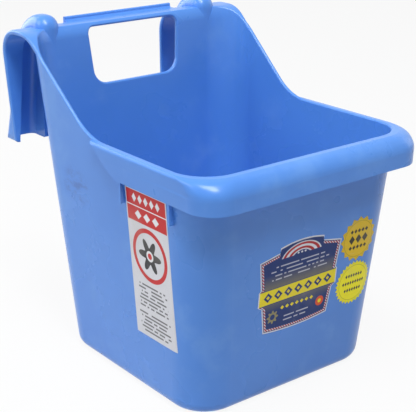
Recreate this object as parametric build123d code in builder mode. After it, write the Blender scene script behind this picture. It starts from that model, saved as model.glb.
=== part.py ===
from build123d import *
import os
from math import asin, cos, hypot, radians, sin, sqrt, tan

# Hook over feeder: a bucket in one polyethylene moulding that hangs on a board by a wide hook, with printed
# films stuck on two of its walls. Millimetres, +Z up, the front faces -Y and the board goes in behind +Y.
# The origin is the middle of the tub's base, on the surface that it stands on. X = 0 is the mirror plane.

# Tub
base_width = 235.0
base_depth = 240.0
rim_height = 254.0
side_draft = 3.6
front_draft = 6.1
back_draft = 4.35
wall = 4.0
corner_radius = 40.0
floor_radius = 12.5
edge_round = 1.8

# Wings, whose top edges rise from the rim to the hook
wing_foot_setback = 90.0
wing_head_setback = 14.0
wing_foot_radius = 70.0
wing_head_radius = 40.0

# Hook
hook_rise = 87.0
hook_plate = 5.0
hook_inset = 1.0
hook_overlap = 42.0
board_gap = 39.0
hook_bend = 31.0
wall_bend = 20.0
bend_turn = 40.0
bend_steps = 4
leg_length = 128.5
leg_spacing = 134.0
leg_corner = 5.0

# Grip bar with its lip, and the hand hold in front of it
bar_depth = 27.8
bar_lip_thickness = 4.0
bar_lip_rise = 4.5
bar_lip_root = 2.0
bar_lip_round = 1.6
hold_height = 61.0
hold_top_width = 117.0
hold_taper = 10.0
hold_top_corner = 7.0
hold_bottom_corner = 17.0

# Hollow rib over each half of the hook
rib_head_width = 25.5
rib_foot_width = 39.0
rib_rise = 12.5
rib_nose_drop = 25.0
rib_nose_set = 1.7
rib_nose_radius = 14.0
rib_bend = 40.0
rib_head_depth = 4.0
rib_foot_depth = 26.0
rib_round = 11.5
rib_wall = 4.0

# Rolled front rim with its hollow skirt
skirt_drop = 30.0
front_reach = 16.8
side_reach = 4.5
roll_height = 17.0
roll_over = 0.4
roll_steps = 7
rim_corner = 29.0
corner_growth = 0.7
rim_edge = 4.5
rim_rear_setback = 75.0
lip_wall = 3.5
cavity_side_gap = 7.0
skirt_tail_setback = 136.8
skirt_tail_slope = 37.4
skirt_tail_radius = 25.0

# Gussets under the side rims
gusset_thickness = 2.5
gusset_height = 21.0
gusset_inset = 0.6
gusset_setback = 15.5
gusset_spacing = 78.0

# Printed films
film_thickness = 0.2
side_label_gap = 9.1
side_label_width = 65.4
side_label_height = 154.5
side_label_drop = 2.0
front_label_x = -1.5
front_label_bottom = 73.0
front_label_height = 95.5
front_label_right = [(42, 3), (46, 31), (51, 34), (51, 50), (49, 52), (52.8, 82), (28, 87), (28, 92)]
burst_offset = 77.0
burst_radius = 24.5
upper_burst_z = 148.5
upper_burst_count = 16
upper_burst_depth = 3.6
lower_burst_z = 99.0
lower_burst_count = 30
lower_burst_depth = 2.6

# Cutting bodies pass the faces that they cut by this much
spare = 1.0
on_surface = 0.2


def half_width(z, inward=0.0):
    """Half of the tub's width at a height, less a skin."""
    return base_width / 2 + z * tan(radians(side_draft)) - inward


def front_y(z, inward=0.0):
    """Where the front wall stands at a height."""
    return -(base_depth / 2 + z * tan(radians(front_draft)) - inward)


def back_y(z, inward=0.0):
    """Where the back wall stands at a height."""
    return base_depth / 2 + z * tan(radians(back_draft)) - inward


def tub_outline(z, inward=0.0, flare=0.0):
    """The tub's rounded outline at a height, less a skin, with its back edge moved out by a flare."""
    x, front, back = half_width(z, inward), front_y(z, inward), back_y(z, inward) + flare
    front_corner = corner_radius - inward
    back_corner = front_corner + flare
    with BuildSketch(Plane.XY.offset(z)) as outline:
        with BuildLine():
            FilletPolyline(
                (x, front), (x, back), (-x, back), (-x, front),
                radius=[front_corner, back_corner, back_corner, front_corner], close=True,
            )
        make_face()
    return outline.sketch


def rim_outline(z, turn=0.0, inward=0.0):
    """The rim's outline at a height where its front has rolled over by a turn in degrees, less a skin."""
    reach = (roll_height - inward) * (1 - cos(radians(turn)))
    front = front_y(rim_height) - front_reach + inward + reach
    drop = min(rim_height + roll_over - z, rim_edge)
    side_roll = rim_edge - sqrt(rim_edge**2 - (rim_edge - drop) ** 2)
    x = half_width(z) + side_reach - (cavity_side_gap if inward else side_roll)
    corner = rim_corner - inward + reach * corner_growth
    with BuildSketch(Plane.XY.offset(z)) as outline:
        with BuildLine():
            FilletPolyline(
                (x, front), (x, rim_rear_y), (-x, rim_rear_y), (-x, front),
                radius=[corner, 0, 0, corner], close=True,
            )
        make_face()
    return outline.sketch


def rim_roll(inward=0.0):
    """The rim's outlines from the shoulder of the roll to its top, less a skin."""
    outlines = []
    for step in range(roll_steps + 1):
        turn = 90.0 * step / roll_steps
        outlines.append(rim_outline(roll_foot + (roll_height - inward) * sin(radians(turn)), turn, inward))
    return outlines


def rim_skirt(inward=0.0):
    """The rim's outlines at the skirt's lower edge and at the shoulder of the roll, less a skin."""
    return [rim_outline(rim_height - skirt_drop, 0.0, inward), rim_outline(roll_foot, 0.0, inward)]


def on_inner_wall(point):
    """Whether a point lies on the tub's inner wall."""
    turn = asin(min(max((point.Z - flare_start) / wall_bend, 0.0), 1.0))
    flare = wall_bend * (1 - cos(turn)) if point.Y > 0 else 0.0
    corner = corner_radius - wall + flare
    wall_y = back_y(point.Z, wall) + flare if point.Y > 0 else -front_y(point.Z, wall)
    beyond_x = max(abs(point.X) - half_width(point.Z, wall) + corner, 0.0)
    beyond_y = max(abs(point.Y) - wall_y + corner, 0.0)
    return abs(hypot(beyond_x, beyond_y) - corner) < on_surface


def rounds_hold(edge):
    """Whether an edge runs around the hand hold's mouth in the inner wall."""
    middle = edge @ 0.5
    beside = abs(middle.X) < hold_top_width / 2 + spare
    return on_inner_wall(middle) and beside and middle.Z > hold_bottom - spare


def rounds_crown(edge):
    """Whether an edge runs around the tub's open top, along its inner wall."""
    middle = edge @ 0.5
    return on_inner_wall(middle) and not under_crown.solid().is_inside(middle + Vector(0, 0, spare))


def rib_sides(inward=0.0):
    """A rib's outline from behind, less a skin at its sides."""
    spread = (rib_foot_width - rib_head_width) / leg_length
    head_x = rib_inner_x + rib_head_width - rib_rise * spread - inward
    foot_x = rib_inner_x + rib_foot_width + leg_corner * spread - inward
    with BuildSketch(Plane.XZ.offset(-hook_front_y)) as outline:
        with BuildLine():
            Polyline(
                (rib_inner_x + inward, rib_foot), (rib_inner_x + inward, rib_top),
                (head_x, rib_top), (foot_x, rib_foot), close=True,
            )
        make_face()
    return outline.sketch


def burst(x, z, count, depth):
    """A star with many short points, seen from the front."""
    corners = []
    for step in range(2 * count):
        radius = burst_radius - depth * (step % 2)
        angle = radians(180.0 * step / count)
        corners.append((x + radius * cos(angle), z + radius * sin(angle)))
    with BuildSketch(Plane.XZ) as star:
        with BuildLine():
            Polyline(*corners, close=True)
        make_face()
    return star.sketch


hook_top = rim_height + hook_rise
hook_front_y = back_y(hook_top) - hook_overlap
hook_rear_y = back_y(hook_top) + board_gap + hook_plate
hook_bend_y = hook_rear_y - hook_bend
leg_bottom = hook_top - leg_length
throat_top = hook_top - hook_plate
hold_bottom = throat_top - hold_height
wing_foot_y = base_depth / 2 - wing_foot_setback
wing_head_y = back_y(hook_top) - wing_head_setback
rim_rear_y = base_depth / 2 - rim_rear_setback
roll_foot = rim_height + roll_over - roll_height
flare_start = hook_top - wall_bend * sin(radians(bend_turn))
bar_rear_y = back_y(hook_top) + bar_depth
rib_foot = leg_bottom - leg_corner
rib_top = hook_top + rib_rise
rib_inner_x = (leg_spacing / 2 + half_width(hook_top, hook_inset) - rib_head_width) / 2
rib_nose_z = hook_top - rib_nose_drop
gusset_front_y = gusset_setback - base_depth / 2
skirt_bottom = rim_height - skirt_drop
reach_x = base_width
reach_y = base_depth

# Everything under the line that the rim, the wings and the hook follow when seen from the side
with BuildPart() as under_crown:
    with BuildSketch(Plane.YZ):
        with BuildLine():
            FilletPolyline(
                (-reach_y, -reach_y), (-reach_y, rim_height), (wing_foot_y, rim_height),
                (wing_head_y, hook_top), (hook_rear_y, hook_top), (hook_rear_y, -reach_y),
                radius=[0, 0, wing_foot_radius, wing_head_radius, hook_bend, 0], close=True,
            )
        make_face()
    extrude(amount=reach_x, both=True)

# The tub's outside
with BuildPart() as tub_outside:
    loft([tub_outline(0), tub_outline(hook_top + spare)], ruled=True)
    fillet(tub_outside.faces().sort_by(Axis.Z)[0].edges(), floor_radius)
    add(under_crown.part, mode=Mode.INTERSECT)
    upper_edges = tub_outside.edges().filter_by_position(Axis.Z, rim_height - spare, hook_top + spare)
    fillet(upper_edges.filter_by(GeomType.LINE, reverse=True), edge_round)

# The hand hold, which is cut through the back wall below the grip bar
with BuildPart() as hand_hold:
    with BuildSketch(Plane.XZ.offset(-hook_front_y)):
        with BuildLine():
            FilletPolyline(
                ((hold_taper - hold_top_width) / 2, hold_bottom), (-hold_top_width / 2, throat_top),
                (hold_top_width / 2, throat_top), ((hold_top_width - hold_taper) / 2, hold_bottom),
                radius=[hold_bottom_corner, hold_top_corner, hold_top_corner, hold_bottom_corner],
                close=True,
            )
        make_face()
    extrude(amount=hook_front_y - hook_bend_y)

# The tub's inside, which bends back over the hook at its top and runs into the hand hold
with BuildPart() as tub_inside:
    loft([tub_outline(wall, wall), tub_outline(flare_start, wall)], ruled=True)
    fillet(tub_inside.faces().sort_by(Axis.Z)[0].edges(), floor_radius - wall)
    flared = []
    for step in range(bend_steps + 1):
        turn = radians(bend_turn * step / (bend_steps - 1))
        flared.append(tub_outline(flare_start + wall_bend * sin(turn), wall, wall_bend * (1 - cos(turn))))
    loft(flared)
    add(hand_hold.part)
    fillet(tub_inside.edges().filter_by(rounds_hold), edge_round)

# The rim with its hollow skirt, whose tail rises to the rim at the back
with BuildPart() as rim:
    loft(rim_roll())
    loft(rim_skirt(), ruled=True)
    loft(rim_roll(lip_wall), mode=Mode.SUBTRACT)
    loft(rim_skirt(lip_wall), ruled=True, mode=Mode.SUBTRACT)
    tail_rise = tan(radians(skirt_tail_slope))
    tail_y = base_depth / 2 - skirt_tail_setback
    with BuildSketch(Plane.YZ):
        with BuildLine():
            FilletPolyline(
                (-reach_y, rim_height), (-reach_y, skirt_bottom), (tail_y, skirt_bottom),
                (tail_y + skirt_drop / tail_rise, rim_height),
                radius=[0, 0, skirt_tail_radius, 0], close=True,
            )
        make_face()
    extrude(amount=reach_x, both=True, mode=Mode.INTERSECT)

# The hook: a plate bent over the board, split into two legs below the grip bar
with BuildPart() as hook:
    with BuildSketch(Plane.YZ):
        with BuildLine():
            FilletPolyline(
                (wing_foot_y, rim_height), (wing_head_y, hook_top), (hook_rear_y, hook_top),
                (hook_rear_y, leg_bottom), radius=[wing_head_radius, hook_bend],
            )
            offset(amount=hook_plate, side=Side.RIGHT)
        make_face()
    extrude(amount=reach_x, both=True)
    with BuildSketch(Plane.XZ.offset(-hook_front_y)):
        with BuildLine():
            top_x = half_width(hook_top + spare, hook_inset)
            foot_x = half_width(leg_bottom, hook_inset)
            Polyline(
                (-foot_x, leg_bottom), (-top_x, hook_top + spare), (top_x, hook_top + spare),
                (foot_x, leg_bottom), close=True,
            )
        make_face()
    extrude(amount=-reach_y, mode=Mode.INTERSECT)
    with BuildSketch(Plane.XY.offset(leg_bottom)):
        with Locations((0, hook_bend_y)):
            Rectangle(leg_spacing, reach_y, align=(Align.CENTER, Align.MIN))
    extrude(amount=reach_y, mode=Mode.SUBTRACT)
    foot_edges = hook.edges().filter_by_position(Axis.Z, leg_bottom - spare, leg_bottom + spare)
    fillet(foot_edges.filter_by(Axis.Y), leg_corner)
    seams = hook.edges().filter_by(Axis.X).filter_by_position(Axis.Z, leg_bottom + spare, hook_top + spare)
    leg_edges = hook.edges().filter_by_position(Axis.Z, leg_bottom - spare, throat_top - spare)
    seams += leg_edges.filter_by(Axis.Y)
    seams += hook.edges().filter_by(Axis.Z).filter_by_position(Axis.Z, throat_top, hook_top)
    seams += hook.edges().filter_by_position(Axis.Y, hook_front_y - on_surface, hook_front_y + on_surface)
    fillet(hook.edges() - seams, edge_round)

# The grip bar with the lip that stiffens it
with BuildPart() as grip_bar:
    with BuildSketch(Plane.YZ):
        with BuildLine():
            bar_front_y = hook_bend_y - hook_plate
            lip_y = bar_rear_y - bar_lip_thickness
            lip_top = hook_top + bar_lip_rise
            FilletPolyline(
                (bar_front_y, throat_top), (bar_rear_y, throat_top), (bar_rear_y, lip_top),
                (lip_y, lip_top), (lip_y, hook_top), (bar_front_y, hook_top),
                radius=[0, edge_round, bar_lip_round, bar_lip_round, bar_lip_root, 0], close=True,
            )
        make_face()
    extrude(amount=(leg_spacing + hook_plate) / 2, both=True)

# One rib, which widens towards its foot, and the channel inside it
with BuildPart() as rib:
    extrude(rib_sides(), amount=-reach_y)
    with BuildSketch(Plane.YZ):
        with BuildLine():
            nose_y = back_y(rib_nose_z, wall)
            FilletPolyline(
                (nose_y, rib_nose_z), (nose_y + rib_nose_set, rib_top),
                (hook_rear_y + rib_head_depth, rib_top), (hook_rear_y + rib_foot_depth, rib_foot),
                (hook_bend_y, rib_foot), (hook_bend_y, rib_nose_z),
                radius=[0, rib_nose_radius, rib_bend, 0, 0, 0], close=True,
            )
        make_face()
    extrude(amount=reach_x, mode=Mode.INTERSECT)
    rib_edges = rib.faces().sort_by(SortBy.AREA)[-2:].edges()
    core_edges = rib_edges.filter_by_position(Axis.Y, hook_bend_y - on_surface, hook_bend_y + on_surface)
    core_edges += rib_edges.filter_by_position(Axis.Z, rib_nose_z - on_surface, rib_nose_z + on_surface)
    fillet(rib_edges - core_edges, rib_round)
    with BuildSketch(Plane.YZ):
        with BuildLine():
            plate_y = hook_rear_y - hook_plate / 2
            plate_z = hook_top - hook_plate / 2
            FilletPolyline(
                (back_y(rib_nose_z, wall / 2), rib_nose_z - spare), (back_y(hook_top, wall / 2), plate_z),
                (plate_y, plate_z), (plate_y, rib_foot - spare),
                (hook_front_y, rib_foot - spare), (hook_front_y, rib_nose_z - spare),
                radius=[0, 0, hook_bend - hook_plate / 2, 0, 0, 0], close=True,
            )
        make_face()
    extrude(amount=reach_x, mode=Mode.SUBTRACT)
    split(bisect_by=Plane.XY.offset(leg_bottom), keep=Keep.TOP)
with BuildPart() as rib_channel:
    extrude(rib_sides(rib_wall), amount=-reach_y)
    with BuildSketch(Plane.YZ):
        with BuildLine():
            channel_y = back_y(hook_top) + spare
            channel_z = rib_top - rib_wall
            throat_y = hook_rear_y - hook_plate - edge_round
            throat_z = hook_top - hook_bend
            FilletPolyline(
                (channel_y, throat_z), (channel_y, channel_z),
                (hook_rear_y + rib_head_depth - rib_wall, channel_z),
                (hook_rear_y + rib_foot_depth - rib_wall, rib_foot),
                (throat_y, rib_foot), (throat_y, throat_z),
                radius=[0, rib_nose_radius - rib_wall, rib_bend - rib_wall, 0, 0, 0], close=True,
            )
        make_face()
    extrude(amount=reach_x, mode=Mode.INTERSECT)
    channel_edges = rib_channel.faces().sort_by(SortBy.AREA)[-2:].edges()
    open_edges = channel_edges.filter_by_position(Axis.Y, channel_y - on_surface, channel_y + on_surface)
    open_edges += channel_edges.filter_by_position(Axis.Y, throat_y - on_surface, throat_y + on_surface)
    open_edges += channel_edges.filter_by_position(Axis.Z, throat_z - on_surface, throat_z + on_surface)
    fillet(channel_edges - open_edges, rib_round - rib_wall)

# The whole moulding, made as its right half and mirrored
with BuildPart() as feeder_body:
    add(tub_outside.part)
    add(rim.part)
    add(hook.part)
    add(grip_bar.part)
    for gusset_y in (gusset_front_y, gusset_front_y + gusset_spacing):
        inner_x = half_width(skirt_bottom - gusset_height, wall / 2)
        outer_x = half_width(skirt_bottom) + side_reach - gusset_inset
        with Locations((inner_x, gusset_y, skirt_bottom - gusset_height)):
            Box(
                outer_x - inner_x, gusset_thickness, gusset_height + spare,
                align=(Align.MIN, Align.CENTER, Align.MIN),
            )
    add(tub_inside.part, mode=Mode.SUBTRACT)
    fillet(feeder_body.edges().filter_by(rounds_crown), edge_round)
    add(rib.part)
    add(rib_channel.part, mode=Mode.SUBTRACT)
    split(bisect_by=Plane.YZ, keep=Keep.TOP)
    mirror(about=Plane.YZ)
feeder_body.part.label = "feeder_body"

# The printed films follow the tub's outside, each cut from a thin skin around it
film_outside = [tub_outline(floor_radius, -film_thickness), tub_outline(skirt_bottom, -film_thickness)]
film_inside = [tub_outline(floor_radius), tub_outline(skirt_bottom)]

with BuildPart() as side_label:
    with BuildSketch(Plane.YZ):
        with Locations((gusset_front_y + side_label_gap, skirt_bottom - side_label_drop)):
            Rectangle(side_label_width, side_label_height, align=(Align.MIN, Align.MAX))
    extrude(amount=-reach_x)
    loft(film_outside, ruled=True, mode=Mode.INTERSECT)
    loft(film_inside, ruled=True, mode=Mode.SUBTRACT)
side_label.part.label = "side_label"

with BuildPart() as front_label:
    label_foot = (front_label_x, 0, front_label_bottom)
    label_left = [(-x, z) for x, z in reversed(front_label_right)]
    with BuildSketch(Plane(origin=label_foot, x_dir=(1, 0, 0), z_dir=(0, -1, 0))):
        with BuildLine():
            ThreePointArc(label_left[-1], (0, 0), front_label_right[0])
            Polyline(*front_label_right)
            ThreePointArc(front_label_right[-1], (0, front_label_height), label_left[0])
            Polyline(*label_left)
        make_face()
    extrude(amount=reach_y)
    loft(film_outside, ruled=True, mode=Mode.INTERSECT)
    loft(film_inside, ruled=True, mode=Mode.SUBTRACT)
front_label.part.label = "front_label"

burst_x = front_label_x + burst_offset
with BuildPart() as upper_burst_sticker:
    extrude(burst(burst_x, upper_burst_z, upper_burst_count, upper_burst_depth), amount=reach_y)
    loft(film_outside, ruled=True, mode=Mode.INTERSECT)
    loft(film_inside, ruled=True, mode=Mode.SUBTRACT)
upper_burst_sticker.part.label = "upper_burst_sticker"

with BuildPart() as lower_burst_sticker:
    extrude(burst(burst_x, lower_burst_z, lower_burst_count, lower_burst_depth), amount=reach_y)
    loft(film_outside, ruled=True, mode=Mode.INTERSECT)
    loft(film_inside, ruled=True, mode=Mode.SUBTRACT)
lower_burst_sticker.part.label = "lower_burst_sticker"

os.makedirs("parts", exist_ok=True)
export_step(feeder_body.part, "parts/feeder_body.step")
export_step(side_label.part, "parts/side_label.step")
export_step(front_label.part, "parts/front_label.step")
export_step(upper_burst_sticker.part, "parts/upper_burst_sticker.step")
export_step(lower_burst_sticker.part, "parts/lower_burst_sticker.step")
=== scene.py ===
"""Looks of a hook-over feeder: one blue moulding with four printed films, standing in a plain pale studio."""

import logging
import math
from dataclasses import dataclass, field
from enum import Enum
from typing import Mapping, Optional, Union

import bpy
from mathutils import Matrix, Vector

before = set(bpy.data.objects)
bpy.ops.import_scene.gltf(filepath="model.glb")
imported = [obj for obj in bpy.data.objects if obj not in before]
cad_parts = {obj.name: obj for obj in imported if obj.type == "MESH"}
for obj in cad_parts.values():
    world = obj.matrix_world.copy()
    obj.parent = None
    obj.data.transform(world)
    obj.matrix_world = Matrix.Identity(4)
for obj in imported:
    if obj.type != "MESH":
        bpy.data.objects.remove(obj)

log = logging.getLogger("feeder")

Colour = tuple[float, float, float, float]
Triple = tuple[float, float, float]
Feed = Union[bpy.types.NodeSocket, float, tuple, Vector]

MM_PER_M = 1000.0
PHOTO_WIDTH = 416
PHOTO_HEIGHT = 412
INK_EDGE = 0.3
WHITE: Colour = (1.0, 1.0, 1.0, 1.0)


def ink(red: int, green: int, blue: int) -> Colour:
    """Turns a colour as seen on a screen into the linear colour that a shader takes.

    Args:
        red: Red, 0 to 255.
        green: Green, 0 to 255.
        blue: Blue, 0 to 255.

    Returns:
        The linear colour with full alpha.
    """
    channels = []
    for value in (red, green, blue):
        share = value / 255.0
        channels.append(share / 12.92 if share <= 0.04045 else ((share + 0.055) / 1.055) ** 2.4)
    return (channels[0], channels[1], channels[2], 1.0)


class Slot(Enum):
    """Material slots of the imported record."""

    MOULDING = "blue_polyethylene"
    SIDE_FILM = "side_label_film"
    FRONT_FILM = "front_label_film"
    GOLD_FILM = "gold_sticker_film"
    YELLOW_FILM = "yellow_sticker_film"


class Axis(Enum):
    """Which way a film's width runs."""

    ACROSS = "x"
    ALONG = "y"


@dataclass(frozen=True)
class Grain:
    """A noise pattern, and the range of its values that shows as a mask."""

    scale: float = 1.0
    detail: float = 2.0
    roughness: float = 0.5
    stretch: Optional[Triple] = None
    low: float = 0.0
    high: float = 1.0


class ShaderTree:
    """A node tree with short calls that add nodes and join their sockets."""

    def __init__(self, tree: bpy.types.NodeTree) -> None:
        """Takes over a tree and empties it.

        Args:
            tree: The material's or group's node tree.
        """
        self.tree = tree
        self.tree.nodes.clear()

    def feed(self, socket: bpy.types.NodeSocket, value: Feed) -> None:
        """Links a socket to another one, or sets its own value.

        Args:
            socket: The input to fill.
            value: An output socket to link, or a plain value.
        """
        if isinstance(value, bpy.types.NodeSocket):
            self.tree.links.new(value, socket)
        else:
            socket.default_value = value

    def add(
        self, kind: str, inputs: Optional[Mapping[Union[str, int], Feed]] = None, **settings: object,
    ) -> bpy.types.Node:
        """Adds one node.

        Args:
            kind: The node's type name.
            inputs: Values or links by input name or number.
            settings: Properties of the node itself.

        Returns:
            The new node.
        """
        node = self.tree.nodes.new(kind)
        for name, setting in settings.items():
            setattr(node, name, setting)
        for key, value in (inputs or {}).items():
            self.feed(node.inputs[key], value)
        return node

    def math(self, operation: str, *values: Feed, clamp: bool = False) -> bpy.types.NodeSocket:
        """Adds a Math node.

        Args:
            operation: What it computes.
            values: Its operands in order.
            clamp: Whether the result stays between 0 and 1.

        Returns:
            The result's socket.
        """
        node = self.add("ShaderNodeMath", dict(enumerate(values)), operation=operation, use_clamp=clamp)
        return node.outputs[0]

    def both(self, *masks: Feed) -> Feed:
        """Keeps only what every mask covers.

        Args:
            masks: The masks, or a plain share of one.

        Returns:
            The masks' product.
        """
        covered = masks[0]
        for mask in masks[1:]:
            covered = self.math("MULTIPLY", covered, mask)
        return covered

    def distance(self, across: Feed, up: Feed) -> bpy.types.NodeSocket:
        """Measures how far a point lies from the middle.

        Args:
            across: The point's distance to the right of the middle.
            up: Its height above the middle.

        Returns:
            The distance's socket.
        """
        squares = self.math("ADD", self.both(across, across), self.both(up, up))
        return self.math("SQRT", squares)

    def edge(self, past: Feed, softness: Feed) -> bpy.types.NodeSocket:
        """Turns a distance past an edge into a mask that fades evenly across it.

        Args:
            past: How far a point lies outside the edge, below zero inside it.
            softness: How wide the fade is.

        Returns:
            The mask's socket, 1 inside and 0 outside.
        """
        return self.math("SUBTRACT", 0.5, self.math("DIVIDE", past, softness), clamp=True)

    def mix(self, share: Feed, below: Feed, above: Feed) -> bpy.types.NodeSocket:
        """Lays one colour over another.

        Args:
            share: How much of the upper colour covers the lower one.
            below: The lower colour.
            above: The upper colour.

        Returns:
            The mixed colour's socket.
        """
        node = self.add("ShaderNodeMix", {0: share, 6: below, 7: above}, data_type="RGBA")
        return node.outputs[2]

    def ramp(
        self, value: Feed, low: float, high: float, start: float = 0.0, end: float = 1.0,
    ) -> bpy.types.NodeSocket:
        """Maps a range of a value smoothly to another range.

        Args:
            value: The value to map.
            low: Where the mapping starts.
            high: Where it ends.
            start: The result at the low end.
            end: The result at the high end.

        Returns:
            The mapped value's socket.
        """
        inputs = {0: value, 1: low, 2: high, 3: start, 4: end}
        return self.add("ShaderNodeMapRange", inputs, interpolation_type="SMOOTHSTEP").outputs[0]

    def stretch(self, point: Feed, scale: Triple) -> bpy.types.NodeSocket:
        """Scales a point along the three axes.

        Args:
            point: The point.
            scale: The three factors.

        Returns:
            The scaled point's socket.
        """
        node = self.add("ShaderNodeVectorMath", {0: point, 1: scale}, operation="MULTIPLY")
        return node.outputs[0]

    def noise(self, point: Feed, grain: Grain) -> bpy.types.NodeSocket:
        """Adds a noise texture.

        Args:
            point: Where it is read.
            grain: Its pattern.

        Returns:
            The noise value's socket.
        """
        place = point if grain.stretch is None else self.stretch(point, grain.stretch)
        return self.add("ShaderNodeTexNoise", {
            "Vector": place, "Scale": grain.scale, "Detail": grain.detail, "Roughness": grain.roughness,
        }).outputs[0]

    def patches(self, point: Feed, grain: Grain, strength: float = 1.0) -> bpy.types.NodeSocket:
        """Turns the range of a noise pattern that shows into a mask.

        Args:
            point: Where the pattern is read.
            grain: The pattern with its range.
            strength: The mask's value where it is fullest.

        Returns:
            The mask's socket.
        """
        return self.ramp(self.noise(point, grain), grain.low, grain.high, 0.0, strength)

    def effect(self, group: bpy.types.NodeTree, inputs: Mapping[str, Feed]) -> bpy.types.Node:
        """Places a shared effect.

        Args:
            group: The effect's node group.
            inputs: Its values by name.

        Returns:
            The placed group.
        """
        node = self.tree.nodes.new("ShaderNodeGroup")
        node.node_tree = group
        for name, value in inputs.items():
            self.feed(node.inputs[name], value)
        return node


class SharedEffect:
    """A shader node group that is built once and placed in each material with its own values."""

    def __init__(self, name: str, inputs: Mapping[str, str], outputs: Mapping[str, str]) -> None:
        """Makes the group with its sockets.

        Args:
            name: The group's name.
            inputs: Socket kind by input name.
            outputs: Socket kind by output name.
        """
        self.group = bpy.data.node_groups.new(name, "ShaderNodeTree")
        self.steps = ShaderTree(self.group)
        for in_out, sockets in (("INPUT", inputs), ("OUTPUT", outputs)):
            for label, kind in sockets.items():
                self.group.interface.new_socket(name=label, in_out=in_out, socket_type="NodeSocket" + kind)
        self.inputs = self.steps.add("NodeGroupInput").outputs
        self.outputs = self.steps.add("NodeGroupOutput").inputs

    def put_out(self, name: str, value: Feed) -> None:
        """Links one of the group's outputs."""
        self.steps.feed(self.outputs[name], value)


def number_sockets(*names: str) -> dict[str, str]:
    """Lists sockets that all carry plain numbers."""
    return {name: "Float" for name in names}


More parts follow.
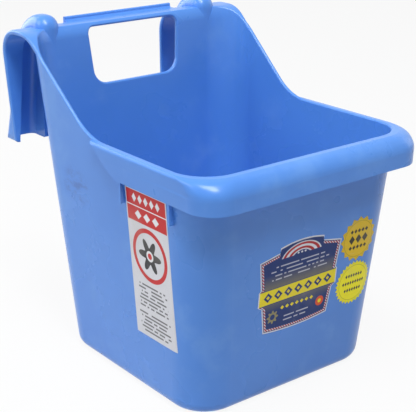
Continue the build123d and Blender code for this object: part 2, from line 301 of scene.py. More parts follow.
@dataclass
class Effects:
    """The effects that more than one finish uses, with the values that all of them share."""

    petal_edge: float = 0.4
    lozenge_fade: tuple[float, float] = (0.9, 1.1)
    row_edge: float = 0.2
    bar_edge: float = 0.08
    gap_share: float = 0.22
    shortest_line: float = 0.7
    line_spread: float = 0.3
    whole_turns: float = 100.0
    drift: Grain = Grain(detail=3.0, roughness=0.6, stretch=(9.0, 9.0, 26.0), low=0.46, high=0.68)
    level_streak: Grain = Grain(detail=4.0, roughness=0.65, stretch=(34.0, 34.0, 420.0), low=0.66, high=0.74)
    upright_streak: Grain = Grain(
        detail=4.0, roughness=0.65, stretch=(390.0, 390.0, 30.0), low=0.67, high=0.75,
    )
    smudge: Grain = Grain(scale=16.0, detail=4.0, roughness=0.6, low=0.52, high=0.74)
    print_screen: Grain = Grain(scale=900.0, detail=1.0, low=0.3, high=0.8)
    film_ripple: Grain = Grain(scale=70.0)
    screen_strength: float = 0.06
    film_gloss: float = 0.3
    film_dulling: float = 0.16
    bare_film: Colour = ink(224, 224, 222)
    dust: Colour = ink(176, 170, 158)
    screen_ink: Colour = ink(40, 40, 44)
    band: bpy.types.NodeTree = field(init=False)
    ring: bpy.types.NodeTree = field(init=False)
    rosette: bpy.types.NodeTree = field(init=False)
    lozenges: bpy.types.NodeTree = field(init=False)
    fine_print: bpy.types.NodeTree = field(init=False)
    scuffs: bpy.types.NodeTree = field(init=False)
    film_wear: bpy.types.NodeTree = field(init=False)

    def __post_init__(self) -> None:
        """Builds every group."""
        self.band = self._band()
        self.ring = self._ring()
        self.rosette = self._rosette()
        self.lozenges = self._lozenges()
        self.fine_print = self._fine_print()
        self.scuffs = self._scuffs()
        self.film_wear = self._film_wear()
        log.info("shared effects built")

    def _band(self) -> bpy.types.NodeTree:
        """Builds a straight band with soft edges.

        Returns:
            The group.
        """
        effect = SharedEffect(
            "soft_band", number_sockets("Position", "Centre", "Half Width", "Softness"),
            number_sockets("Mask"),
        )
        steps, given = effect.steps, effect.inputs
        away = steps.math("ABSOLUTE", steps.math("SUBTRACT", given["Position"], given["Centre"]))
        past = steps.math("SUBTRACT", away, given["Half Width"])
        effect.put_out("Mask", steps.edge(past, given["Softness"]))
        return effect.group

    def _ring(self) -> bpy.types.NodeTree:
        """Builds a ring, or a disc where its radius is zero.

        Returns:
            The group.
        """
        effect = SharedEffect(
            "soft_ring", number_sockets("Across", "Up", "Radius", "Half Width", "Softness"),
            number_sockets("Mask"),
        )
        steps, given = effect.steps, effect.inputs
        from_middle = steps.distance(given["Across"], given["Up"])
        away = steps.math("ABSOLUTE", steps.math("SUBTRACT", from_middle, given["Radius"]))
        past = steps.math("SUBTRACT", away, given["Half Width"])
        effect.put_out("Mask", steps.edge(past, given["Softness"]))
        return effect.group

    def _rosette(self) -> bpy.types.NodeTree:
        """Builds a rosette of rounded petals.

        Returns:
            The group.
        """
        effect = SharedEffect(
            "petal_rosette", number_sockets("Across", "Up", "Petals", "Radius", "Depth"),
            number_sockets("Mask"),
        )
        steps, given = effect.steps, effect.inputs
        angle = steps.both(steps.math("ARCTAN2", given["Up"], given["Across"]), given["Petals"])
        dip = steps.math("MULTIPLY_ADD", steps.math("COSINE", angle), 0.5, -0.5)
        rim = steps.math("MULTIPLY_ADD", dip, given["Depth"], given["Radius"])
        past = steps.math("SUBTRACT", steps.distance(given["Across"], given["Up"]), rim)
        effect.put_out("Mask", steps.edge(past, self.petal_edge))
        return effect.group

    def _lozenges(self) -> bpy.types.NodeTree:
        """Builds a row of lozenges of one size.

        Returns:
            The group.
        """
        effect = SharedEffect(
            "lozenge_row",
            number_sockets("Across", "Up", "Pitch", "Half Width", "Half Height", "Half Length"),
            number_sockets("Mask"),
        )
        steps, given = effect.steps, effect.inputs
        turn = steps.math("ADD", steps.math("DIVIDE", given["Across"], given["Pitch"]), 0.5)
        place = steps.math("SUBTRACT", steps.math("FRACT", steps.math("ADD", turn, self.whole_turns)), 0.5)
        beside = steps.both(steps.math("ABSOLUTE", place), given["Pitch"])
        reach = steps.math(
            "ADD", steps.math("DIVIDE", beside, given["Half Width"]),
            steps.math("DIVIDE", steps.math("ABSOLUTE", given["Up"]), given["Half Height"]),
        )
        shape = steps.ramp(reach, *self.lozenge_fade, 1.0, 0.0)
        effect.put_out("Mask", steps.both(shape, self._within(steps, given["Across"], given["Half Length"])))
        return effect.group

    def _within(self, steps: ShaderTree, across: Feed, half_length: Feed) -> bpy.types.NodeSocket:
        """Ends a row on both sides of the middle.

        Args:
            steps: The group's tree.
            across: The point's distance to the right of the middle.
            half_length: How far the row runs to each side.

        Returns:
            The mask's socket.
        """
        return steps.effect(self.band, {
            "Position": across, "Centre": 0.0, "Half Width": half_length, "Softness": self.row_edge,
        }).outputs[0]

    def _fine_print(self) -> bpy.types.NodeTree:
        """Builds rows of short bars, which stand for small print and spell nothing.

        Returns:
            The group.
        """
        effect = SharedEffect(
            "bar_rows",
            number_sockets("Across", "Up", "Row Pitch", "Bar Pitch", "Half Length", "Low", "High", "Weight"),
            number_sockets("Mask"),
        )
        steps, given = effect.steps, effect.inputs
        rows = steps.math("DIVIDE", given["Up"], given["Row Pitch"])
        row = steps.math("FLOOR", rows)
        place = steps.math("ABSOLUTE", steps.math("SUBTRACT", steps.math("SUBTRACT", rows, row), 0.5))
        in_row = steps.edge(steps.math("SUBTRACT", place, given["Weight"]), self.bar_edge)
        bar = steps.math("FLOOR", steps.math("DIVIDE", given["Across"], given["Bar Pitch"]))
        cell = steps.add("ShaderNodeCombineXYZ", {0: bar, 1: row}).outputs[0]
        draw = steps.add("ShaderNodeTexWhiteNoise", {"Vector": cell}, noise_dimensions="3D").outputs[0]
        filled = steps.math("GREATER_THAN", draw, self.gap_share)
        line = steps.add("ShaderNodeTexWhiteNoise", {"W": row}, noise_dimensions="1D").outputs[0]
        share = steps.math("MULTIPLY_ADD", line, self.line_spread, self.shortest_line)
        within = self._within(steps, given["Across"], steps.both(given["Half Length"], share))
        above = steps.math("GREATER_THAN", given["Up"], given["Low"])
        under = steps.math("LESS_THAN", given["Up"], given["High"])
        effect.put_out("Mask", steps.both(in_row, filled, above, under, within))
        return effect.group

    def _scuffs(self) -> bpy.types.NodeTree:
        """Builds thin rubbed streaks and soft handling marks.

        Returns:
            The group.
        """
        inputs = {"Position": "Vector", "Streaks": "Float", "Smudges": "Float"}
        effect = SharedEffect("handling_scuffs", inputs, number_sockets("Streak", "Smudge"))
        steps, given = effect.steps, effect.inputs
        point = given["Position"]
        fine = steps.math(
            "MAXIMUM", steps.patches(point, self.level_streak), steps.patches(point, self.upright_streak),
        )
        effect.put_out("Streak", steps.both(fine, steps.patches(point, self.drift), given["Streaks"]))
        effect.put_out("Smudge", steps.both(steps.patches(point, self.smudge), given["Smudges"]))
        return effect.group

    def _film_wear(self) -> bpy.types.NodeTree:
        """Builds the wear of a printed film: rubbed ink, dust and the film's gentle ripple.

        Returns:
            The group.
        """
        effect = SharedEffect(
            "film_wear", {"Ink": "Color", "Position": "Vector", "Rubbed": "Float", "Dust": "Float"},
            {"Colour": "Color", "Roughness": "Float", "Height": "Float"},
        )
        steps, given = effect.steps, effect.inputs
        point = given["Position"]
        marks = steps.effect(self.scuffs, {"Position": point, "Streaks": 1.0, "Smudges": 1.0}).outputs
        worn = steps.mix(steps.both(marks["Streak"], given["Rubbed"]), given["Ink"], self.bare_film)
        dusty = steps.mix(steps.both(marks["Smudge"], given["Dust"]), worn, self.dust)
        screen = steps.patches(point, self.print_screen, self.screen_strength)
        effect.put_out("Colour", steps.mix(screen, dusty, self.screen_ink))
        dulled = steps.math("MULTIPLY_ADD", marks["Smudge"], self.film_dulling, self.film_gloss)
        effect.put_out("Roughness", dulled)
        effect.put_out("Height", steps.noise(point, self.film_ripple))
        return effect.group


@dataclass(frozen=True)
class MouldedPolyethylene:
    """Blue polyethylene as it comes from the mould, handled a little."""

    colour: Colour = ink(82, 139, 219)
    deep: Colour = ink(72, 129, 211)
    bloom: Colour = ink(116, 162, 224)
    scuff: Colour = ink(56, 86, 156)
    clouds: Grain = Grain(scale=7.0, detail=3.0, roughness=0.55, low=0.35, high=0.7)
    cloud_strength: float = 0.55
    streaks: float = 0.45
    smudges: float = 0.35
    refraction: float = 1.5
    gloss: float = 0.42
    roughness: float = 0.23
    cloud_dulling: float = 0.1
    smudge_dulling: float = 0.3
    peel: Grain = Grain(scale=160.0)
    pores: Grain = Grain(scale=1500.0, roughness=0.6)
    pore_height: float = 0.35
    streak_depth: float = 1.2
    grain_depth: float = 0.00005
    grain_strength: float = 0.6
    rub_centre: Triple = (-0.130, 0.062, 0.196)
    rub_stretch: Triple = (9.0, 34.0, 42.0)
    rub_strength: float = 0.5
    rub_core: float = 0.5
    rub_break: Grain = Grain(detail=4.0, roughness=0.7, stretch=(60.0, 60.0, 130.0), low=0.42, high=0.66)

    def make(self, slot: Slot, effects: Effects) -> bpy.types.Material:
        """Builds the material.

        Args:
            slot: The record's slot, which names the material.
            effects: The shared effects.

        Returns:
            The finished material.
        """
        material = bpy.data.materials.new(slot.value)
        material.use_nodes = True
        steps = ShaderTree(material.node_tree)
        point = steps.add("ShaderNodeTexCoord").outputs["Object"]
        cloud = steps.noise(point, self.clouds)
        share = steps.ramp(cloud, self.clouds.low, self.clouds.high, 0.0, self.cloud_strength)
        marks = steps.effect(effects.scuffs, {
            "Position": point, "Streaks": self.streaks, "Smudges": self.smudges,
        }).outputs
        colour = steps.mix(share, self.colour, self.deep)
        colour = steps.mix(marks["Smudge"], colour, self.bloom)
        colour = steps.mix(marks["Streak"], colour, self.bloom)
        colour = steps.mix(self._rub_mark(steps, point), colour, self.scuff)
        polish = steps.math("MULTIPLY_ADD", cloud, self.cloud_dulling, self.roughness)
        polish = steps.math("MULTIPLY_ADD", marks["Smudge"], self.smudge_dulling, polish)
        shader = steps.add("ShaderNodeBsdfPrincipled", {
            "Base Color": colour, "Roughness": polish, "Normal": self._grain(steps, point, marks["Streak"]),
            "IOR": self.refraction, "Specular IOR Level": self.gloss,
        })
        steps.add("ShaderNodeOutputMaterial", {"Surface": shader.outputs[0]})
        return material

    def _grain(self, steps: ShaderTree, point: Feed, streak: Feed) -> bpy.types.NodeSocket:
        """Builds the mould's orange peel and pores, with the streaks scratched into them.

        Args:
            steps: The material's tree.
            point: The surface point.
            streak: The streaks' mask.

        Returns:
            The normal's socket.
        """
        pores = steps.noise(point, self.pores)
        height = steps.math("MULTIPLY_ADD", pores, self.pore_height, steps.noise(point, self.peel))
        height = steps.math("SUBTRACT", height, steps.both(streak, self.streak_depth))
        return steps.add("ShaderNodeBump", {
            "Strength": self.grain_strength, "Distance": self.grain_depth, "Height": height,
        }).outputs[0]

    def _rub_mark(self, steps: ShaderTree, point: Feed) -> bpy.types.NodeSocket:
        """Builds the darker rub marks low under the left wing.

        Args:
            steps: The material's tree.
            point: The surface point.

        Returns:
            The marks' mask.
        """
        inputs = {0: point, 1: self.rub_centre}
        mark = steps.add("ShaderNodeVectorMath", inputs, operation="SUBTRACT").outputs[0]
        flat = steps.stretch(mark, self.rub_stretch)
        length = steps.add("ShaderNodeVectorMath", {0: flat}, operation="LENGTH").outputs["Value"]
        patch = steps.ramp(length, self.rub_core, 1.0, self.rub_strength, 0.0)
        return steps.both(patch, steps.patches(point, self.rub_break))


def set_material(piece: bpy.types.Object, material: bpy.types.Material) -> None:
    """Puts one material in every slot of a piece.

    Args:
        piece: The object to dress.
        material: What it wears.
    """
    if not piece.data.materials:
        piece.data.materials.append(material)
    for slot in piece.material_slots:
        slot.material = material


@dataclass
class FeederBody:
    """The one-piece moulding: tub, rim, hook, grip bar and ribs."""

    node: str = "feeder_body"
    finish: MouldedPolyethylene = MouldedPolyethylene()

    def dress(self, effects: Effects) -> bpy.types.Object:
        """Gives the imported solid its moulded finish.

        Args:
            effects: The shared effects.

        Returns:
            The dressed object.
        """
        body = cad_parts[self.node]
        set_material(body, self.finish.make(Slot.MOULDING, effects))
        return body


@dataclass(frozen=True)
class LozengeRow:
    """A row of lozenges at one height of a film."""

    up: float
    pitch: float
    half_width: float
    half_height: float
    half_length: float


@dataclass(frozen=True)
class Ring:
    """A ring of ink, or a disc where its radius is zero."""

    across: float
    up: float
    radius: float
    half_width: float
    softness: float = INK_EDGE


@dataclass(frozen=True)
class Rosette:
    """A rosette of rounded petals, whose dips are as deep as its depth."""

    across: float
    up: float
    petals: float
    radius: float
    depth: float


@dataclass(frozen=True)
class BarBlock:
    """A block of rows of short bars between two heights of a film."""

    low: float
    high: float
    half_length: float
    row_pitch: float
    bar_pitch: float
    weight: float
    strength: float


@dataclass
class Press:
    """Prints a film: it knows where a surface point lies and lays one ink over another, in millimetres."""

    steps: ShaderTree
    effects: Effects
    across: Feed
    up: Feed
    colour: Feed

    def lay(self, mask: Feed, tint: Feed) -> None:
        """Lays a tint over what is printed so far, where the mask covers it."""
        self.colour = self.steps.mix(mask, self.colour, tint)

    def from_middle(self, across: float, up: float) -> tuple[bpy.types.NodeSocket, bpy.types.NodeSocket]:
        """Measures from a motif's middle instead of from the film's origin."""
        return self.steps.math("SUBTRACT", self.across, across), self.steps.math("SUBTRACT", self.up, up)

    def between(
        self, position: Feed, low: float, high: float, softness: float = INK_EDGE,
    ) -> bpy.types.NodeSocket:
        """Covers what lies between two values of a position.

        Args:
            position: The position.
            low: Where the cover starts.
            high: Where it ends.
            softness: How wide its edges fade.

        Returns:
            The mask's socket.
        """
        return self.steps.effect(self.effects.band, {
            "Position": position, "Centre": (low + high) / 2, "Half Width": (high - low) / 2,
            "Softness": softness,
        }).outputs[0]

    def row(self, motif: LozengeRow, tint: Colour) -> None:
        """Prints a row of lozenges.

        Args:
            motif: The row.
            tint: Its ink.
        """
        up = self.from_middle(0.0, motif.up)[1]
        mask = self.steps.effect(self.effects.lozenges, {
            "Across": self.across, "Up": up, "Pitch": motif.pitch, "Half Width": motif.half_width,
            "Half Height": motif.half_height, "Half Length": motif.half_length,
        }).outputs[0]
        self.lay(mask, tint)

    def ring(self, motif: Ring, tint: Colour, strength: float = 1.0) -> None:
        """Prints a ring or a disc.

        Args:
            motif: The ring.
            tint: Its ink.
            strength: How much the ink covers.
        """
        across, up = self.from_middle(motif.across, motif.up)
        mask = self.steps.effect(self.effects.ring, {
            "Across": across, "Up": up, "Radius": motif.radius, "Half Width": motif.half_width,
            "Softness": motif.softness,
        }).outputs[0]
        self.lay(self.steps.both(mask, strength), tint)

    def rosette(self, motif: Rosette, tint: Colour) -> None:
        """Prints a rosette.

        Args:
            motif: The rosette.
            tint: Its ink.
        """
        across, up = self.from_middle(motif.across, motif.up)
        mask = self.steps.effect(self.effects.rosette, {
            "Across": across, "Up": up, "Petals": motif.petals, "Radius": motif.radius, "Depth": motif.depth,
        }).outputs[0]
        self.lay(mask, tint)

    def bars(self, motif: BarBlock, tint: Colour) -> None:
        """Prints rows of short bars.

        Args:
            motif: The block of rows.
            tint: Its ink.
        """
        mask = self.steps.effect(self.effects.fine_print, {
            "Across": self.across, "Up": self.up, "Row Pitch": motif.row_pitch, "Bar Pitch": motif.bar_pitch,
            "Half Length": motif.half_length, "Low": motif.low, "High": motif.high, "Weight": motif.weight,
        }).outputs[0]
        self.lay(self.steps.both(mask, motif.strength), tint)


@dataclass(frozen=True)
class PrintedFilm:
    """A glossy printed film."""

    paper: Colour = ink(214, 214, 218)
    refraction: float = 1.46
    gloss: float = 0.3
    rubbed: float = 0.25
    dust: float = 0.2
    ripple_depth: float = 0.00003
    ripple_strength: float = 0.5

    def close(self, press: Press, point: Feed) -> None:
        """Adds wear, gloss and ripple to what is printed and ends the material.

        Args:
            press: The press with its finished print.
            point: The surface point in metres.
        """
        steps = press.steps
        wear = steps.effect(press.effects.film_wear, {
            "Ink": press.colour, "Position": point, "Rubbed": self.rubbed, "Dust": self.dust,
        }).outputs
        bump = steps.add("ShaderNodeBump", {
            "Strength": self.ripple_strength, "Distance": self.ripple_depth, "Height": wear["Height"],
        })
        shader = steps.add("ShaderNodeBsdfPrincipled", {
            "Base Color": wear["Colour"], "Roughness": wear["Roughness"], "Normal": bump.outputs[0],
            "IOR": self.refraction, "Specular IOR Level": self.gloss,
        })
        steps.add("ShaderNodeOutputMaterial", {"Surface": shader.outputs[0]})


@dataclass
class Film:
    """A printed film on one of the tub's walls, measured in millimetres from its own origin."""

    node: str
    slot: Slot
    origin: tuple[float, float]
    width_runs: Axis
    finish: PrintedFilm = PrintedFilm()

    def place(self, steps: ShaderTree, point: Feed) -> tuple[bpy.types.NodeSocket, bpy.types.NodeSocket]:
        """Finds where a surface point lies on the film.

        Args:
            steps: The material's tree.
            point: The surface point in metres.

        Returns:
            How far it lies to the reader's right and up, in millimetres.
        """
        parts = steps.add("ShaderNodeSeparateXYZ", {0: point}).outputs
        if self.width_runs is Axis.ACROSS:
            across = steps.math("MULTIPLY_ADD", parts[0], MM_PER_M, -self.origin[0])
        else:
            across = steps.math("MULTIPLY_ADD", parts[1], -MM_PER_M, self.origin[0])
        return across, steps.math("MULTIPLY_ADD", parts[2], MM_PER_M, -self.origin[1])

    def artwork(self, press: Press) -> None:
        """Leaves bare paper; each film prints its own artwork here."""

    def dress(self, effects: Effects) -> bpy.types.Object:
        """Prints the film.

        Args:
            effects: The shared effects.

        Returns:
            The dressed object.
        """
        material = bpy.data.materials.new(self.slot.value)
        material.use_nodes = True
        steps = ShaderTree(material.node_tree)
        point = steps.add("ShaderNodeTexCoord").outputs["Object"]
        press = Press(steps, effects, *self.place(steps, point), self.finish.paper)
        self.artwork(press)
        self.finish.close(press, point)
        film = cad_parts[self.node]
        set_material(film, material)
        return film


@dataclass
class SideLabel(Film):
    """The tall film on the left wall: a red header in two rows, a roundel and rows of bars."""

    half_width: float = 32.7
    margin: float = 1.4
    header: tuple[float, float] = (121.5, 153.1)
    header_split: tuple[float, float] = (137.0, 138.0)
    split_edge: float = 0.2
    header_rows: tuple[LozengeRow, ...] = (
        LozengeRow(up=145.6, pitch=9.4, half_width=3.6, half_height=4.6, half_length=23.5),
        LozengeRow(up=129.4, pitch=14.0, half_width=5.4, half_height=4.6, half_length=21.0),
    )
    petals: Rosette = Rosette(across=0.0, up=90.5, petals=6.0, radius=18.0, depth=9.5)
    roundel: Ring = Ring(across=0.0, up=90.5, radius=25.5, half_width=2.3)
    hub: Ring = Ring(across=0.0, up=90.5, radius=0.0, half_width=5.6)
    hub_pin: Ring = Ring(across=0.0, up=90.5, radius=0.0, half_width=3.2)
    small_print: tuple[BarBlock, ...] = (
        BarBlock(
            low=30.6, high=57.6, half_length=26.0, row_pitch=3.9, bar_pitch=2.9, weight=0.22, strength=0.85,
        ),
        BarBlock(
            low=3.6, high=27.0, half_length=26.0, row_pitch=3.9, bar_pitch=2.9, weight=0.22, strength=0.85,
        ),
    )
    red: Colour = ink(198, 26, 28)
    charcoal: Colour = ink(40, 40, 44)
    white: Colour = ink(232, 232, 234)

    def artwork(self, press: Press) -> None:
        """Prints the header, the roundel and the rows.

        Args:
            press: The film's press.
        """
        side = self.half_width - self.margin
        block = press.between(press.up, *self.header)
        inside = press.between(press.across, -side, side)
        press.lay(press.steps.both(block, inside), self.red)
        press.lay(press.between(press.up, *self.header_split, self.split_edge), self.white)
        for row in self.header_rows:
            press.row(row, self.white)
        press.rosette(self.petals, self.charcoal)
        press.ring(self.roundel, self.red)
        press.ring(self.hub, self.white)
        press.ring(self.hub_pin, self.red)
        for block_of_bars in self.small_print:
            press.bars(block_of_bars, self.charcoal)


@dataclass
class FrontLabel(Film):
    """The shield-shaped film: twisted border, crest of arches, yellow banner and a navy field."""

    outline: float = 1.3
    outline_edge: float = 0.15
    border_gap: float = 0.9
    border: float = 2.1
    border_ground: tuple[float, float] = (0.6, 0.8)
    twist_rate: float = 2.1
    twist_share: tuple[float, float] = (-0.5, 0.1)
    foot_reach: float = 42.0
    foot_sag: float = 3.0
    glow: tuple[float, float] = (37.0, 53.0)
    glow_edge: float = 26.0
    crest_half_width: float = 28.4
    crest_ground: tuple[float, float] = (8.6, 9.0)
    arch_foot: tuple[float, float] = (3.6, 4.2)
    arch_squeeze: float = 0.62
    arch_rate: float = 1.43
    arch_edge: float = 0.3
    arches: Ring = Ring(across=0.0, up=76.0, radius=12.0, half_width=4.4, softness=0.4)
    crest_row: LozengeRow = LozengeRow(up=81.4, pitch=4.6, half_width=1.6, half_height=1.3, half_length=6.9)
    banner: tuple[float, float] = (34.4, 49.6)
    banner_piping: float = 0.8
    banner_row: LozengeRow = LozengeRow(
        up=42.0, pitch=13.0, half_width=5.4, half_height=5.2, half_length=45.5,
    )
    banner_hearts: LozengeRow = LozengeRow(
        up=42.0, pitch=13.0, half_width=2.2, half_height=2.1, half_length=45.5,
    )
    small_print: tuple[BarBlock, ...] = (
        BarBlock(
            low=57.2, high=74.8, half_length=38.0, row_pitch=4.4, bar_pitch=2.6, weight=0.15, strength=0.7,
        ),
        BarBlock(
            low=8.8, high=17.6, half_length=17.0, row_pitch=4.4, bar_pitch=2.6, weight=0.15, strength=0.7,
        ),
    )
    gold_row: LozengeRow = LozengeRow(up=26.0, pitch=6.4, half_width=2.4, half_height=2.2, half_length=22.4)
    left_seal: Rosette = Rosette(across=-31.0, up=18.5, petals=8.0, radius=7.4, depth=2.6)
    left_hub: Ring = Ring(across=-31.0, up=18.5, radius=0.0, half_width=3.0)
    right_seal: Ring = Ring(across=31.0, up=18.5, radius=0.0, half_width=5.4)
    right_hub: Ring = Ring(across=31.0, up=18.5, radius=0.0, half_width=2.2)
    sides: tuple[tuple[float, float], ...] = (
        (0.0, 42.0), (3.0, 42.0), (31.0, 46.0), (34.0, 51.0), (50.0, 51.0), (52.0, 49.0), (82.0, 52.8),
        (95.5, 52.8),
    )
    shoulder: tuple[tuple[float, float], ...] = (
        (0.0, 95.5), (14.0, 94.6), (27.5, 92.0), (28.5, 87.0), (52.8, 82.0),
    )
    navy: Colour = ink(4, 44, 110)
    tan: Colour = ink(146, 138, 96)
    yellow: Colour = ink(240, 220, 30)
    red: Colour = ink(176, 28, 36)
    white: Colour = ink(222, 222, 228)
    orange: Colour = ink(224, 82, 30)

    def artwork(self, press: Press) -> None:
        """Prints the field, the border, the crest, the banner and the white outline.

        Args:
            press: The film's press.
        """
        depth = self._depth(press)
        press.lay(1.0, self.navy)
        press.lay(press.between(press.up, *self.glow, self.glow_edge), self.tan)
        self._print_field(press)
        self._print_border(press, depth)
        self._print_crest(press)
        self._print_banner(press)
        start, end = self.outline - self.outline_edge, self.outline + self.outline_edge
        press.lay(press.steps.ramp(depth, start, end, 1.0, 0.0), self.white)

    def _profile(
        self, steps: ShaderTree, value: Feed, points: tuple[tuple[float, float], ...],
    ) -> bpy.types.NodeSocket:
        """Reads a broken line, whose values all lie between 0 and the curve's span.

        Args:
            steps: The material's tree.
            value: Where it is read.
            points: Its corners.

        Returns:
            Its height there.
        """
        span = 100.0
        places = [(place / span, height / span) for place, height in points]
        node = steps.add("ShaderNodeFloatCurve", {"Value": steps.math("DIVIDE", value, span)})
        curve = node.mapping.curves[0]
        curve.points[0].location = places[0]
        curve.points[1].location = places[-1]
        for place, height in places[1:-1]:
            curve.points.new(place, height)
        for corner in curve.points:
            corner.handle_type = "VECTOR"
        node.mapping.update()
        return steps.math("MULTIPLY", node.outputs[0], span)

    def _depth(self, press: Press) -> bpy.types.NodeSocket:
        """Measures how far a point lies inside the shield's edge.

        Args:
            press: The film's press.

        Returns:
            The depth's socket.
        """
        steps = press.steps
        aside = steps.math("ABSOLUTE", press.across)
        from_side = steps.math("SUBTRACT", self._profile(steps, press.up, self.sides), aside)
        from_top = steps.math("SUBTRACT", self._profile(steps, aside, self.shoulder), press.up)
        bow = steps.math("POWER", steps.math("DIVIDE", aside, self.foot_reach), 2.0)
        from_foot = steps.math("SUBTRACT", press.up, steps.both(bow, self.foot_sag))
        return steps.math("MINIMUM", steps.math("MINIMUM", from_side, from_top), from_foot)

    def _print_field(self, press: Press) -> None:
        """Prints the rows of bars, the gold lozenges and the two small seals.

        Args:
            press: The film's press.
        """
        for block_of_bars in self.small_print:
            press.bars(block_of_bars, self.white)
        press.row(self.gold_row, self.yellow)
        press.rosette(self.left_seal, self.tan)
        press.ring(self.right_seal, self.orange)
        press.ring(self.right_hub, self.yellow)
        press.ring(self.left_hub, self.navy)

    def _print_border(self, press: Press, depth: Feed) -> None:
        """Prints the thin twisted border on its navy ground.

        Args:
            press: The film's press.
            depth: How far the point lies inside the film's edge.
        """
        steps = press.steps
        twist = steps.math("SINE", steps.both(steps.math("ADD", press.across, press.up), self.twist_rate))
        strand = steps.mix(steps.ramp(twist, *self.twist_share), self.white, self.red)
        inner_edge = self.outline + self.border_gap + self.border
        start, end = self.border_ground
        press.lay(steps.ramp(depth, inner_edge + start, inner_edge + end, 1.0, 0.0), self.navy)
        press.lay(press.between(depth, inner_edge - self.border, inner_edge), strand)

    def _print_crest(self, press: Press) -> None:
        """Prints the crest: red and pale arches over a navy ground with a row of lozenges.

        Args:
            press: The film's press.
        """
        steps = press.steps
        across, up = press.from_middle(self.arches.across, self.arches.up)
        ground = press.between(press.across, -self.crest_half_width, self.crest_half_width)
        press.lay(steps.both(ground, steps.ramp(up, *self.crest_ground)), self.navy)
        beside = steps.both(across, self.arch_squeeze)
        wave = steps.math("SINE", steps.both(steps.distance(beside, up), self.arch_rate))
        stripes = steps.mix(steps.ramp(wave, -self.arch_edge, self.arch_edge), self.white, self.red)
        zone = steps.effect(press.effects.ring, {
            "Across": beside, "Up": up, "Radius": self.arches.radius, "Half Width": self.arches.half_width,
            "Softness": self.arches.softness,
        }).outputs[0]
        press.lay(steps.both(zone, steps.ramp(up, *self.arch_foot)), stripes)
        press.row(self.crest_row, self.white)

    def _print_banner(self, press: Press) -> None:
        """Prints the yellow banner with its piping and lozenges.

        Args:
            press: The film's press.
        """
        low, high = self.banner
        press.lay(press.between(press.up, low - self.banner_piping, high + self.banner_piping), self.navy)
        press.lay(press.between(press.up, low, high), self.yellow)
        press.row(self.banner_row, self.navy)
        press.row(self.banner_hearts, self.yellow)


@dataclass
class BurstSticker(Film):
    """A star-shaped sticker with rows of lozenges inside a thin ring."""

    ground: Colour = ink(230, 192, 18)
    mark: Colour = ink(44, 40, 26)
    # painted shade: a soft darkening in the mark ink towards the sticker's edge, with its strength
    painted_edge_shade: Ring = Ring(across=0.0, up=0.0, radius=24.5, half_width=1.0, softness=9.0)
    painted_edge_shade_strength: float = 0.22
    ring: Ring = Ring(across=0.0, up=0.0, radius=19.6, half_width=0.35)
    ring_strength: float = 0.35
    rows: tuple[LozengeRow, ...] = (
        LozengeRow(up=9.0, pitch=5.0, half_width=2.2, half_height=2.4, half_length=12.5),
        LozengeRow(up=0.0, pitch=9.0, half_width=3.96, half_height=5.0, half_length=13.5),
        LozengeRow(up=-9.0, pitch=5.0, half_width=2.2, half_height=2.4, half_length=12.5),
    )

    def artwork(self, press: Press) -> None:
        """Prints the ground, a painted shade towards the edge, the ring and the rows of lozenges.

        Args:
            press: The film's press.
        """
        press.lay(1.0, self.ground)
        # painted shade towards the sticker's edge
        press.ring(self.painted_edge_shade, self.mark, self.painted_edge_shade_strength)
        press.ring(self.ring, self.mark, self.ring_strength)
        for row in self.rows:
            press.row(row, self.mark)


@dataclass(frozen=True)
class Lamp:
    """A soft square lamp."""

    name: str
    place: Triple
    aim: Triple
    size: float
    power: float

    def build(self) -> bpy.types.Object:
        """Adds the lamp to the scene.

        Returns:
            The lamp.
        """
        data = bpy.data.lights.new(self.name, "AREA")
        data.shape = "SQUARE"
        data.size = self.size
        data.energy = self.power
        lamp = bpy.data.objects.new(self.name, data)
        bpy.context.scene.collection.objects.link(lamp)
        lamp.location = self.place
        lamp.rotation_euler = (Vector(self.aim) - Vector(self.place)).to_track_quat("-Z", "Y").to_euler()
        return lamp


@dataclass(frozen=True)
class View:
    """The photograph's camera, found from the tub's edges."""

    place: Triple = (-0.6690, -0.8508, 0.5539)
    turn: float = 0.662
    tilt: float = 0.350
    roll: float = 0.007
    focal_pixels: float = 1096.7
    centre_pixels: tuple[float, float] = (210.58, 208.9)
    sensor_width: float = 36.0

    def build(self) -> bpy.types.Object:
        """Adds the camera and makes it the scene's.

        Returns:
            The camera.
        """
        data = bpy.data.cameras.new("photo_view")
        data.sensor_fit = "HORIZONTAL"
        data.sensor_width = self.sensor_width
        data.lens = self.sensor_width * self.focal_pixels / PHOTO_WIDTH
        data.shift_x = (PHOTO_WIDTH / 2 - self.centre_pixels[0]) / PHOTO_WIDTH
        data.shift_y = (self.centre_pixels[1] - PHOTO_HEIGHT / 2) / PHOTO_WIDTH
        camera = bpy.data.objects.new("photo_view", data)
        bpy.context.scene.collection.objects.link(camera)
        heading = Matrix.Rotation(-self.turn, 4, "Z")
        level = Matrix.Rotation(math.pi / 2 - self.tilt, 4, "X")
        lean = Matrix.Rotation(-self.roll, 4, "Z")
        camera.matrix_world = Matrix.Translation(self.place) @ heading @ level @ lean
        bpy.context.scene.camera = camera
        return camera


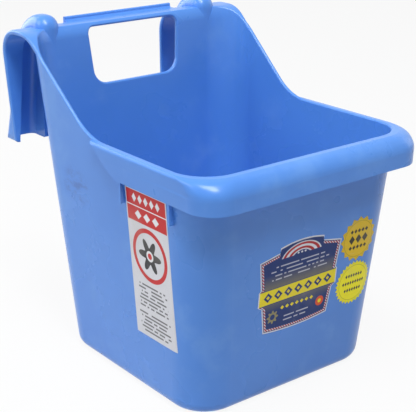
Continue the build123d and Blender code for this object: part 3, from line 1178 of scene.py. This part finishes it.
@dataclass
class Studio:
    """A pale floor, soft lamps and the camera."""

    floor_reach: float = 7.0
    floor_gap: float = 0.0004
    floor_colour: Colour = (0.62, 0.63, 0.65, 1.0)
    floor_shown_white: float = 0.92
    room_colour: Colour = (0.95, 0.97, 1.0, 1.0)
    room_strength: float = 0.13
    view: View = View()
    lamps: tuple[Lamp, ...] = field(default_factory=lambda: (
        Lamp("left_softbox", place=(-1.7, 0.8, 1.5), aim=(0.0, 0.0, 0.14), size=1.1, power=18.0),
        Lamp("right_softbox", place=(1.9, -0.4, 0.9), aim=(0.0, 0.0, 0.15), size=1.1, power=4.0),
        Lamp("top_softbox", place=(-0.5, -0.5, 2.2), aim=(0.0, 0.0, 0.2), size=1.0, power=38.0),
        Lamp("front_softbox", place=(-0.5, -1.2, 2.1), aim=(0.0, 0.0, 0.2), size=0.4, power=17.0),
        Lamp("rear_softbox", place=(-0.5, 1.7, 0.7), aim=(0.0, 0.1, 0.25), size=1.0, power=12.0),
    ))

    def build(self) -> None:
        """Adds the floor, the room's light, the lamps and the camera."""
        self._build_floor()
        self._build_room()
        for lamp in self.lamps:
            lamp.build()
        self.view.build()
        bpy.context.scene.view_settings.view_transform = "Standard"
        log.info("studio built with %d lamps", len(self.lamps))

    def _seen(self, steps: ShaderTree) -> bpy.types.NodeSocket:
        """Tells rays that show the background from rays that light the object.

        Args:
            steps: The tree to add to.

        Returns:
            A value that is 1 for camera, glossy and transmission rays.
        """
        path = steps.add("ShaderNodeLightPath").outputs
        shown = steps.math("MAXIMUM", path["Is Camera Ray"], path["Is Glossy Ray"])
        return steps.math("MAXIMUM", shown, path["Is Transmission Ray"])

    def _build_floor(self) -> None:
        """Adds the floor, which keeps the object's shadow."""
        reach = self.floor_reach
        mesh = bpy.data.meshes.new("studio_floor")
        square = [(-reach, -reach, 0.0), (reach, -reach, 0.0), (reach, reach, 0.0), (-reach, reach, 0.0)]
        mesh.from_pydata(square, [], [(0, 1, 2, 3)])
        floor = bpy.data.objects.new("studio_floor", mesh)
        floor.location.z = -self.floor_gap
        bpy.context.scene.collection.objects.link(floor)
        material = bpy.data.materials.new("pale_floor")
        material.use_nodes = True
        steps = ShaderTree(material.node_tree)
        matt = steps.add("ShaderNodeBsdfDiffuse", {"Color": self.floor_colour}).outputs[0]
        glow = steps.add("ShaderNodeEmission", {"Color": WHITE, "Strength": 1.0}).outputs[0]
        share = steps.math("MULTIPLY", self._seen(steps), self.floor_shown_white)
        surface = steps.add("ShaderNodeMixShader", {0: share, 1: matt, 2: glow}).outputs[0]
        steps.add("ShaderNodeOutputMaterial", {"Surface": surface})
        mesh.materials.append(material)

    def _build_room(self) -> None:
        """Makes the room white to look at and dimmer as a light."""
        world = bpy.data.worlds.new("pale_room")
        bpy.context.scene.world = world
        world.use_nodes = True
        steps = ShaderTree(world.node_tree)
        seen = self._seen(steps)
        strength = steps.math("MULTIPLY_ADD", seen, 1.0 - self.room_strength, self.room_strength)
        colour = steps.mix(seen, self.room_colour, WHITE)
        light = steps.add("ShaderNodeBackground", {"Color": colour, "Strength": strength}).outputs[0]
        steps.add("ShaderNodeOutputWorld", {"Surface": light})


def feeder_pieces() -> tuple[Union[FeederBody, Film], ...]:
    """Lists the moulding and its films, each film with the place of its origin on the wall.

    Returns:
        The pieces in the order in which they are dressed.
    """
    return (
        FeederBody(),
        SideLabel("side_label", Slot.SIDE_FILM, origin=(-62.7, 67.5), width_runs=Axis.ALONG),
        FrontLabel("front_label", Slot.FRONT_FILM, origin=(-1.5, 73.0), width_runs=Axis.ACROSS),
        BurstSticker("upper_burst_sticker", Slot.GOLD_FILM, origin=(75.5, 148.5), width_runs=Axis.ACROSS),
        BurstSticker(
            "lower_burst_sticker", Slot.YELLOW_FILM, origin=(75.5, 99.0), width_runs=Axis.ACROSS,
            ground=ink(252, 240, 20), mark=ink(44, 52, 48),
            rows=(
                LozengeRow(up=8.4, pitch=3.4, half_width=1.496, half_height=2.2, half_length=11.9),
                LozengeRow(up=0.2, pitch=3.4, half_width=1.496, half_height=2.2, half_length=15.3),
                LozengeRow(up=-8.0, pitch=3.4, half_width=1.496, half_height=2.2, half_length=11.9),
            ),
        ),
    )


def main() -> None:
    """Dresses the feeder piece by piece and sets the studio around it."""
    logging.basicConfig(level=logging.INFO, format="%(name)s: %(message)s")
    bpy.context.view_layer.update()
    effects = Effects()
    for piece in feeder_pieces():
        dressed = piece.dress(effects)
        log.info("%s dressed, %d faces", dressed.name, len(dressed.data.polygons))
    Studio().build()


if __name__ == "__main__":
    main()
